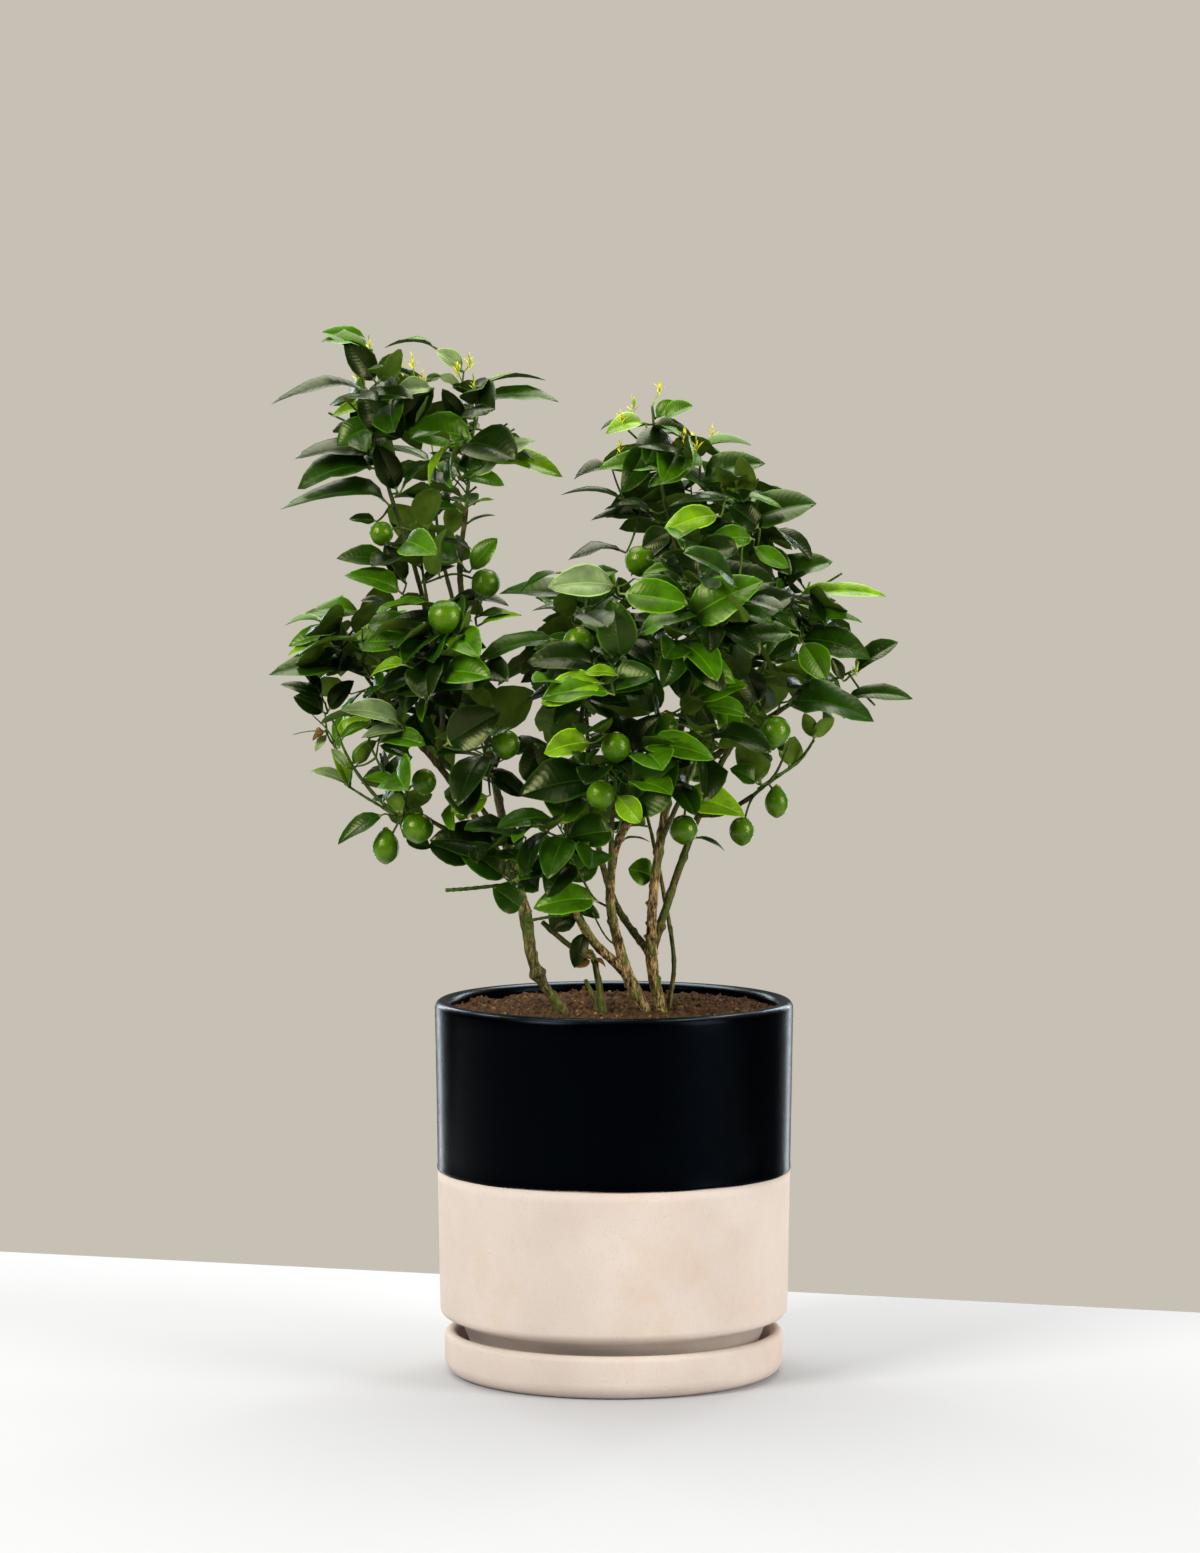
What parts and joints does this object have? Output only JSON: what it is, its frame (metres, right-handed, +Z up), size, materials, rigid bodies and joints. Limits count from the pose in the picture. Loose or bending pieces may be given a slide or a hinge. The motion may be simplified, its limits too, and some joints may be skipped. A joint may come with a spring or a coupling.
{
  "type": "potted key lime tree",
  "caption": "Small key lime tree grown as a bush of thin stems, with glossy pointed leaves and round green fruit, in a half-glazed round clay pot on its saucer.",
  "frame": {"origin": "the middle of the saucer's flat underside", "axes": "+Z up along the pot's axis, +X to the right as the tree is seen from its front, which looks along +Y"},
  "size_m": [0.5486, 0.3636, 0.8859],
  "materials": {
    "clay": "raw matt clay with a faint mottle",
    "glaze": "satin near-black navy glaze",
    "soil": "crumbly potting soil",
    "bark": "rough grey-brown bark with knots",
    "foliage": "glossy dark green leaves, matt olive below",
    "fruit": "semi-gloss green rind with fine pores"
  },
  "bodies": {
    "root": {"saucer": "clay", "pot": "clay", "pot_glaze": "glaze", "soil": "soil", "left_stem": "bark", "middle_stem": "bark", "right_stem": "bark", "thin_stem": "bark", "short_stem": "bark", "left_main_bough": "bark", "left_bough": "bark", "left_rising_bough": "bark", "left_waist_bough": "bark", "left_low_bough": "bark", "left_foot_bough": "bark", "left_inner_bough": "bark", "left_front_bough": "bark", "left_back_bough": "bark", "left_rear_bough": "bark", "long_bough": "bark", "middle_left_bough": "bark", "front_bough": "bark", "front_low_bough": "bark", "centre_bough": "bark", "right_main_bough": "bark", "right_outer_bough": "bark", "back_bough": "bark", "right_droop_bough": "bark", "right_low_bough": "bark", "right_front_bough": "bark", "right_back_bough": "bark", "right_shoulder_bough": "bark", "right_crest_bough": "bark", "foliage_left_top": "foliage", "foliage_left_top_inner": "foliage", "foliage_left_waist": "foliage", "foliage_left_arm": "foliage", "foliage_left_front": "foliage", "foliage_left_low": "foliage", "foliage_left_inner": "foliage", "foliage_left_foot": "foliage", "foliage_left_upper_back": "foliage", "foliage_left_lower_back": "foliage", "foliage_right_top": "foliage", "foliage_right_upper": "foliage", "foliage_right_arm": "foliage", "foliage_right_tip": "foliage", "foliage_centre_front": "foliage", "foliage_right_front": "foliage", "foliage_centre_low": "foliage", "foliage_front_low": "foliage", "foliage_right_low": "foliage", "foliage_right_low_outer": "foliage", "foliage_right_upper_back": "foliage", "foliage_right_middle_back": "foliage", "foliage_centre_back": "foliage", "foliage_low_back": "foliage"}
  },
  "joints": []
}
